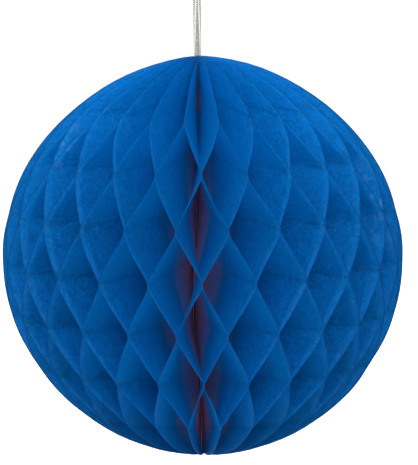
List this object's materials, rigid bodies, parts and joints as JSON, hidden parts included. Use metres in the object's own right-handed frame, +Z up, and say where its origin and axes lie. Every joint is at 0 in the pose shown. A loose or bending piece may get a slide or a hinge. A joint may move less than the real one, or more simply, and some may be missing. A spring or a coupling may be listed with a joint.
{
  "type": "honeycomb paper ball",
  "caption": "Round hanging decoration of tissue sheets fanned out from a slim spine into open diamond cells, on a doubled string with a loop.",
  "frame": {"origin": "centre of the paper ball, midway between its two poles on the spine's middle line; the string is not counted", "axes": "+Z up along the spine towards the string, -Y towards a viewer who sees a column of cells face on, +X to that viewer's right"},
  "size_m": [0.2, 0.2, 0.255],
  "materials": {
    "tissue": "matt dyed tissue paper",
    "binding": "glued tissue edges",
    "string": "smooth pale string"
  },
  "bodies": {
    "root": {"tissue_sheet_01": "tissue", "tissue_sheet_02": "tissue", "tissue_sheet_03": "tissue", "tissue_sheet_04": "tissue", "tissue_sheet_05": "tissue", "tissue_sheet_06": "tissue", "tissue_sheet_07": "tissue", "tissue_sheet_08": "tissue", "tissue_sheet_09": "tissue", "tissue_sheet_10": "tissue", "tissue_sheet_11": "tissue", "tissue_sheet_12": "tissue", "tissue_sheet_13": "tissue", "tissue_sheet_14": "tissue", "tissue_sheet_15": "tissue", "tissue_sheet_16": "tissue", "tissue_sheet_17": "tissue", "tissue_sheet_18": "tissue", "tissue_sheet_19": "tissue", "tissue_sheet_20": "tissue", "tissue_sheet_21": "tissue", "tissue_sheet_22": "tissue", "tissue_sheet_23": "tissue", "tissue_sheet_24": "tissue", "tissue_sheet_25": "tissue", "tissue_sheet_26": "tissue", "tissue_sheet_27": "tissue", "tissue_sheet_28": "tissue", "tissue_sheet_29": "tissue", "tissue_sheet_30": "tissue", "tissue_sheet_31": "tissue", "tissue_sheet_32": "tissue", "tissue_sheet_33": "tissue", "tissue_sheet_34": "tissue", "tissue_sheet_35": "tissue", "tissue_sheet_36": "tissue", "tissue_sheet_37": "tissue", "tissue_sheet_38": "tissue", "tissue_sheet_39": "tissue", "tissue_sheet_40": "tissue", "tissue_sheet_41": "tissue", "tissue_sheet_42": "tissue", "tissue_sheet_43": "tissue", "tissue_sheet_44": "tissue", "tissue_sheet_45": "tissue", "tissue_sheet_46": "tissue", "tissue_sheet_47": "tissue", "tissue_sheet_48": "tissue", "spine_binding": "binding", "hanging_string": "string"}
  },
  "joints": []
}
